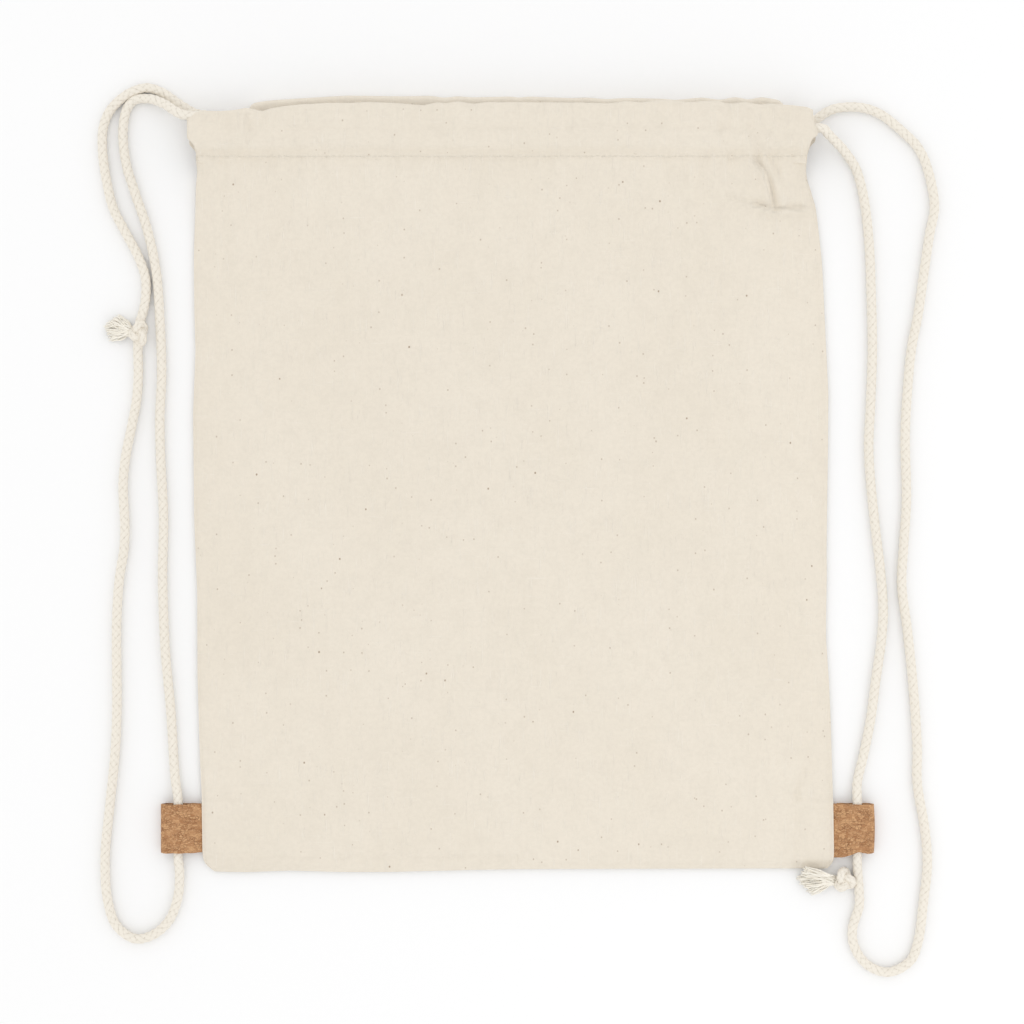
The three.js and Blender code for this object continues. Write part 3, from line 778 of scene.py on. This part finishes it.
def front_cloth():
    """The front panel and channel, as two halves that meet on the bag's middle line."""
    places = column_places()
    rows = []
    for kind, f in sheet_rows():
        level = np.full_like(places, outline_level(kind, f))
        if kind == "panel":
            left, right = left_edge(level) - LEFT_PEEK, right_edge(level) + back_peek(level)
        else:
            tuck = 0.0 if kind == "outer" else 0.0004
            left, right = left_edge(level) + tuck, right_edge(level) - tuck
        x = between_edges(places, left, right)
        d = np.minimum(x - left, right - x)
        corner = np.exp(-d / 0.045)
        fade = np.exp(-f * CHANNEL_WIDTH / 9)
        fold_y = front_top(x) - FOLD_RADIUS
        if kind == "panel":
            y = panel_y(f, x)
            z = front_panel_height(x, y, left, right, corner)
        elif kind == "outer":
            y = HEM_LINE + f * (fold_y - HEM_LINE)
            z = FRONT_PINCH + (FRONT_OUTER - FRONT_PINCH) * channel_profile(f, smooth((d - 0.012) / 0.03))
            z = z - stitch_groove(y) + hem_gathers(x, corner, d, fade)
            z = z + waves(x, y, 0.03, 0.0002, 6, 9) + gathers(x, corner, *TOP_GATHERS) * f
            # the channel's mouth bulges a little over the cord that goes in there
            mouth_y = np.where(x < 0, LEFT_MOUTH_Y, RIGHT_MOUTH_Y)
            z = z + 0.0006 * np.exp(-d / 0.007) * bell((y - mouth_y) / 0.006)
        elif kind == "fold":
            turn = math.pi * f
            y = fold_y + FOLD_RADIUS * math.sin(turn)
            z = FRONT_INNER + FOLD_RADIUS * (1 + math.cos(turn))
            z = z + gathers(x, corner, *TOP_GATHERS) * (1 - f)
        else:
            y = HEM_LINE - HIDDEN_HEM + f * (fold_y - HEM_LINE + HIDDEN_HEM)
            # the inner layer follows the outer one where they are stitched together
            z = FRONT_INNER - 0.0001 + hem_gathers(x, corner, d, fade)
        if kind in ("panel", "outer"):
            for line, width, depth, lift in CREASES:
                z = z + crease(x, y, line, width * MM, depth * MM, lift * MM) * smooth(d / 0.003)
        if kind == "outer":
            # no crease goes deeper than the two cords under this layer
            beside = np.minimum(*(np.abs(y - line_y) for line_y in COVER_LINES))
            cover = OVER_CORDS - 0.0015 * smooth((beside - 0.0028) / 0.0022)
            z = np.where(beside < 0.005, np.maximum(z, cover), z)
        rows.append((x, y, z))
    points, lengths = sheet_grid(rows)
    uvs = np.stack([points[:, :, 0], lengths], -1)
    normals = surface_normals(points)
    middle = places.size // 2
    for side, part in (("left", slice(0, middle + 1)), ("right", slice(middle, None))):
        name = "front_cloth_" + side
        half = sheet_object(name, points[:, part], normals[:, part], uvs[:, part], CLOTH, COTTON)
        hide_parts("front_panel", "front_channel")
        blend_front(half)
    return points


BACK_Z = 0.00045  # heights of the back panel and of its channel's inner layer
BACK_INNER = 0.0055
BACK_FOLD = (BACK_INNER - BACK_Z) / 2


def back_cloth():
    """The back panel and channel. The channel's inner layer lies on top, since the bag lies on its back."""
    places = column_places()
    rows = []
    for kind, f in sheet_rows():
        level = np.full_like(places, outline_level(kind, f))
        left, right = left_edge(level) - LEFT_PEEK, right_edge(level) + back_peek(level)
        x = between_edges(places, left, right)
        d = np.minimum(x - left, right - x)
        ripple = gathers(x, np.exp(-d / 0.045), *BACK_GATHERS)
        fold_y = back_top(x) - BACK_FOLD
        if kind == "panel":
            y = panel_y(f, x)
            edge_z = 0.0010 - 0.00075 * beside_tab(x, y) - 0.001 * smooth((y - SEAM_TOP) / 0.01)
            z = BACK_Z + edge_z * np.exp(-np.minimum(d, y - bottom_edge(x) + 0.0001) / 0.0016)
        elif kind == "outer":
            y = HEM_LINE + f * (fold_y - HEM_LINE)
            z = np.full_like(x, BACK_Z)
        elif kind == "fold":
            turn = math.pi * f
            y = fold_y + BACK_FOLD * math.sin(turn)
            z = BACK_Z + BACK_FOLD * (1 - math.cos(turn)) + ripple * f
        else:
            y = HEM_LINE - HIDDEN_HEM + f * (fold_y - HEM_LINE + HIDDEN_HEM)
            z = BACK_Z + 0.0009 + (BACK_INNER - BACK_Z - 0.0009) * channel_profile(f, 1.0) + ripple * f
        rows.append((x, y, z))
    points, lengths = sheet_grid(rows)
    # moved along the weave, so that its specks aren't the front's
    uvs = np.stack([points[:, :, 0] + 0.7, lengths], -1)
    piece = sheet_object("back_cloth", points, surface_normals(points), uvs, CLOTH, COTTON)
    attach(piece, "bag_back")
    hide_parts("back_panel", "back_channel")
    return points


front_points = front_cloth()
back_points = back_cloth()


# --- Yarns: stitches, overlocking and frayed ends are made of thin round threads ---
class Yarns:
    """Collects thin tubes and turns them into one mesh."""

    def __init__(self, sides=6):
        self.sides = sides
        self.vertices, self.faces, self.caps, self.uvs = [], [], [], []
        self.count = 0

    def add(self, path, radii):
        path = np.asarray(path, float)
        across, upright = frames_along(path, up=(0.03, 0.05, 1))
        angle = np.linspace(0, 2 * math.pi, self.sides, endpoint=False)
        cosines, sines = np.cos(angle)[None, :, None], np.sin(angle)[None, :, None]
        ring = across[:, None, :] * cosines + upright[:, None, :] * sines
        rows = len(path)
        points = path[:, None, :] + ring * np.broadcast_to(radii, rows)[:, None, None]
        self.vertices.append(points.reshape(-1, 3))
        self.faces.append(grid_quads(rows, self.sides, self.count, wrap=True))
        column = np.arange(self.sides) + self.count
        self.caps.append(column[::-1])
        self.caps.append(column + (rows - 1) * self.sides)
        along = lengths_along(path)[:, None] + self.count * 0.00001
        uv = np.broadcast_arrays(angle[None, :] * 0.0004, along)
        self.uvs.append(np.stack(uv, -1).reshape(-1, 2))
        self.count += rows * self.sides

    def piece(self, name, material):
        vertices = np.concatenate(self.vertices)
        faces = [np.concatenate(self.faces), np.array(self.caps)]
        uvs = np.concatenate(self.uvs)
        return mesh_object(name, vertices, faces, material, uvs, np.full(self.count, 0.8))


STITCH_LENGTH = 0.0026
STITCH_GAP = 0.0007
STITCH_RADIUS = 0.00024
STITCH_SINK = 0.00045  # how far a stitch's ends sink into the cloth


def hem_stitches(name, node, heights, left, right):
    """One row of stitches along the hem line. heights are the cloth's (x, z) along it."""
    yarns = Yarns()
    x = left
    while x + STITCH_LENGTH < right:
        share = np.linspace(-1, 1, 7)
        at = np.linspace(x, x + STITCH_LENGTH, len(share))
        z = np.interp(at, heights[:, 0], heights[:, 1])
        sink = STITCH_SINK * (np.abs(share) ** 4)
        y = np.full_like(at, HEM_LINE + 0.00012 * math.sin(x * 900))
        yarns.add(np.stack([at, y, z + CLOTH / 2 + 0.0002 - sink], 1), STITCH_RADIUS)
        x += STITCH_LENGTH + STITCH_GAP
    piece = yarns.piece(name, THREAD)
    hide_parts(node)
    return piece


hem_row = sum(kind == "panel" for kind, _ in sheet_rows()) - 1
front_hem = front_points[hem_row][:, [0, 2]]
for half_name, from_x, to_x in (("left", FRONT_LEFT_SEAM, 0), ("right", 0, FRONT_RIGHT_SEAM - 0.001)):
    name = "front_hem_stitches_" + half_name
    stitches = hem_stitches(name, "front_hem_stitching", front_hem, from_x + 0.0004, to_x)
    blend_front(stitches)

back_hem = back_points[-1][:, [0, 2]] + np.array([0, 0.0001])
seams = (FRONT_LEFT_SEAM, FRONT_RIGHT_SEAM)
stitches = hem_stitches("back_hem_stitches", "back_hem_stitching", back_hem, *seams)
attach(stitches, "bag_back")


# --- Seam allowances inside the bag, each with an overlocked inner edge ---
SEAM_WIDTH = 0.0082
SEAM_THICK = 0.0009
SEAM_MIDDLE_Z = 0.0014
OVERLOCK_PITCH = 0.0024
# the four points of an overlocking loop: their place across the allowance's edge and their height
OVERLOCK_REACH = np.array([0.0002, -0.003, -0.003, 0.0002])
OVERLOCK_LIFT = np.array([0.0, 0.00062, 0.00062, 0.00062])
OVERLOCK_RADIUS = 0.00016


def seam_allowance(name, outer_line, inward):
    """outer_line is the stitched edge, and inward the direction across the allowance."""
    across = np.linspace(0, 1, 7)[None, :, None]
    wave = waves(outer_line[:, 0], outer_line[:, 1], 0.05, 0.0005, 4, 14)[:, None, None]
    points = outer_line[:, None, :] + np.array(inward) * across * (SEAM_WIDTH + wave)
    along = lengths_along(outer_line)
    uvs = np.stack(np.broadcast_arrays(across[..., 0] * SEAM_WIDTH, along[:, None] + 1.0), -1)
    normals = np.zeros_like(points)
    normals[:, :, 2] = 1
    # painted shade: the allowance uses the darker copy of the cotton
    strip = sheet_object(name + "_allowance", points, normals, uvs, SEAM_THICK, COTTON_PAINTED_SHADE)
    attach(strip, "bag_back")
    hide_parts(name)
    place = np.arange(4 * int(along[-1] / OVERLOCK_PITCH))
    at = (place / 4 + 0.3) * OVERLOCK_PITCH
    loops = np.stack([np.interp(at, along, points[:, -1, i]) for i in range(3)], 1)
    loops = loops + np.array(inward) * OVERLOCK_REACH[place % 4][:, None]
    loops[:, 2] += OVERLOCK_LIFT[place % 4]
    thread = Yarns(5)
    thread.add(loops, OVERLOCK_RADIUS)
    overlock = thread.piece(name + "_overlocking", THREAD)
    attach(overlock, "bag_back")


def seam_line(x, y):
    return np.stack([x, y, np.full_like(x, SEAM_MIDDLE_Z)], 1)


seam_y = np.linspace(-0.204, SEAM_TOP, 120)
seam_allowance("left_side_seam", seam_line(left_edge(seam_y) + 0.0024, seam_y), (1, 0, 0))
seam_allowance("right_side_seam", seam_line(right_edge(seam_y) - 0.0024, seam_y), (-1, 0, 0))
seam_x = np.linspace(-0.16, 0.16, 100)
seam_allowance("bottom_seam", seam_line(seam_x, np.full_like(seam_x, BAG_BOTTOM + 0.0022)), (0, 1, 0))


# --- Cork tabs: a strip folded round the cord, with both ends in the side seam ---
CORK_THICK = 0.0009
TAB_SECTION = [  # distance out from the strip's sewn end and height of its middle, in millimetres
    (0, 1.45), (2.6, 1.4), (5, 0.85), (9, 0.5), (14.6, 0.5), (20, 0.5), (23.2, 0.9), (24.7, 2.3),
    (25, 3.8), (24.6, 5.4), (23, 6.8), (20, 7.25), (15.6, 7.3), (11.6, 6.9), (8, 5.6), (5.4, 4.1),
    (3.6, 3), (2.4, 2.5), (0, 2.45),
]
TAB_SEWN = 0.0024  # how much of the strip lies inside the seam
CORD_IN_TAB = 0.0162  # how far out from the strip's sewn end the cord passes


def cork_tab(side, seam_x, slant, bulge, arch):
    """slant lowers the strip's lower edge towards the seam, bulge rounds its outer side, and arch pulls the
    upper layer's lower edge up over the cord."""
    out = -1 if side == "left" else 1
    section = spline([(u * MM, 0, z * MM) for u, z in TAB_SECTION], 0.0007)
    share = np.linspace(0, 1, 34)[:, None]
    u, z = section[:, 0][None, :], section[:, 2][None, :]
    reach = u / u.max()
    over_cord = smooth((z - 0.003) / 0.003) * bell((u - CORD_IN_TAB) / 0.0042)
    low = TAB_LOW_Y - slant * (1 - reach) + arch * over_cord
    y = TAB_TOP_Y + (low - TAB_TOP_Y) * share + 0.0001 * np.sin(u * 900 + 1) * (1 - 2 * share)
    swell = 1 + bulge * np.sin(math.pi * share) * reach
    x = seam_x + out * (u * swell)
    z = z + waves(x + 0 * y, y, 0.012, 0.00008, 5, 40 + out) * smooth((u - TAB_SEWN) / 0.004)
    points = np.stack(np.broadcast_arrays(x, y, z), -1)
    run = lengths_along(section)[None, :] + (0.2 if out > 0 else 0)
    uvs = np.stack(np.broadcast_arrays(run, y), -1)
    if out < 0:
        points, uvs = points[:, ::-1], uvs[:, ::-1]
    piece = sheet_object(side + "_cork_loop", points, surface_normals(points), uvs, CORK_THICK, CORK)
    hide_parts(side + "_cork_tab")
    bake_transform(piece)


cork_tab("left", -0.1728, 0.0, 0.0, 0.0)
cork_tab("right", 0.1732, RIGHT_TAB_SLANT, 0.022, 0.0018)


# --- Knots and frayed ends ---
KNOT_CORD = 0.0044  # the cord is pulled thinner in the knot
KNOT_LIFT = 0.0021  # how far each crossing rises above and falls below the knot's middle


def knot(name, center, size, turn):
    """A tight overhand knot, size wide and high: the cord passes over and under itself three times."""
    t = np.linspace(0, 2 * math.pi, 170)
    x, y = np.sin(t) + 2 * np.sin(2 * t), np.cos(t) - 2 * np.cos(2 * t)
    x, y = x * math.cos(turn) - y * math.sin(turn), x * math.sin(turn) + y * math.cos(turn)
    x, y = x * (size[0] - KNOT_CORD) / np.ptp(x), y * (size[1] - KNOT_CORD) / np.ptp(y)
    height = KNOT_CORD / 2 + 0.0001 + KNOT_LIFT * (1 - np.sin(3 * t))
    path = np.stack([x + center[0], y + center[1], height], 1)
    return braided(name, path, (KNOT_CORD, KNOT_CORD), 28, ends=1.0)


YARN_RADIUS = (0.00028, 0.0005)  # the thinnest and the thickest
ON_BAG_LIFT = 0.0036


def frayed_end(name, start, ends, count, seed):
    """Loose yarns that leave the knot at start and fan out between the two points of ends."""
    draw = np.random.default_rng(seed)
    yarns = Yarns()
    start = np.array(start)
    first, last = (np.array((*e, 0.0)) for e in ends)
    for i in range(count):
        share = (i + draw.uniform(0, 1)) / count
        tip = start + (first + (last - first) * share - start) * draw.uniform(0.84, 1.03)
        tip[2] = draw.uniform(0.0006, 0.0052)
        root = start + draw.normal(0, 0.0009, 3)
        root[2] = start[2] + draw.uniform(-0.0017, 0.0017)
        middle = (root + tip) / 2 + draw.normal(0, 0.0006, 3) + (share - 0.5) * (last - first) * 0.16
        middle[2] = (root[2] + tip[2]) / 2 + draw.uniform(0.0, 0.001)
        path = spline([root, middle, tip], 0.0011)
        path[:, :2] += np.cumsum(draw.normal(0, 0.00008, (len(path), 2)), axis=0)
        # yarns that reach the bag lie over its bottom edge
        on_bag = smooth((path[:, 1] - BAG_BOTTOM + 0.003) / 0.002) * (path[:, 1] < 0)
        path[:, 2] = np.maximum(path[:, 2], 0.0006) + ON_BAG_LIFT * on_bag
        yarns.add(path, np.linspace(1, 0.75, len(path)) * draw.uniform(*YARN_RADIUS))
    # painted light: the loose yarns use the lighter copy of the cord's cotton
    return yarns.piece(name, FRAYED_PAINTED_LIGHT)


# each frayed end's CAD node, where its yarns leave the knot, the two points they fan out between, how
# many there are, and the seed
FRAYED_ENDS = {
    "left": {
        "upper": ("tail_a", (-0.2155, 0.0862, 0.0032), [(-0.2215, 0.0948), (-0.2296, 0.0888)], 60, 5),
        "lower": ("tail_b", (-0.2155, 0.0848, 0.0032), [(-0.2302, 0.0890), (-0.2268, 0.0792)], 60, 6),
    },
    "right": {
        "upper": ("tail_a", (0.1757, -0.2196, 0.0032), [(0.1605, -0.2118), (0.1562, -0.2195)], 60, 7),
        "lower": ("tail_b", (0.1757, -0.2206, 0.0032), [(0.1558, -0.2190), (0.1638, -0.2290)], 70, 8),
    },
}


def knotted_ends(side, center, size, turn):
    """A strap's knot and the two frayed ends of the cord that come out of it."""
    pieces = [knot(side + "_overhand_knot", center, size, turn)]
    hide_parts(side + "_knot")
    for place, (node, start, ends, count, seed) in FRAYED_ENDS[side].items():
        pieces.append(frayed_end(f"{side}_frayed_end_{place}", start, ends, count, seed))
        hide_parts(f"{side}_cord_{node}")
    return pieces


left_ends = knotted_ends("left", (-0.2104, 0.0842), (0.0106, 0.0148), 0.5)
for piece in left_ends:
    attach(piece, "left_strap")
right_ends = knotted_ends("right", (0.1822, -0.2202), (0.0124, 0.0136), 1.2)
for piece in right_ends:
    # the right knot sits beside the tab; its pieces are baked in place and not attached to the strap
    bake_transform(piece)


# --- Floor ---
FLOOR_HALF = 4.0
FLOOR_Z = -0.0002
floor_corners = [(-1, -1), (1, -1), (1, 1), (-1, 1)]
floor_points = [(x * FLOOR_HALF, y * FLOOR_HALF, FLOOR_Z) for x, y in floor_corners]
floor = mesh_object("floor", floor_points, [np.array([[0, 1, 2, 3]])], FLOOR)
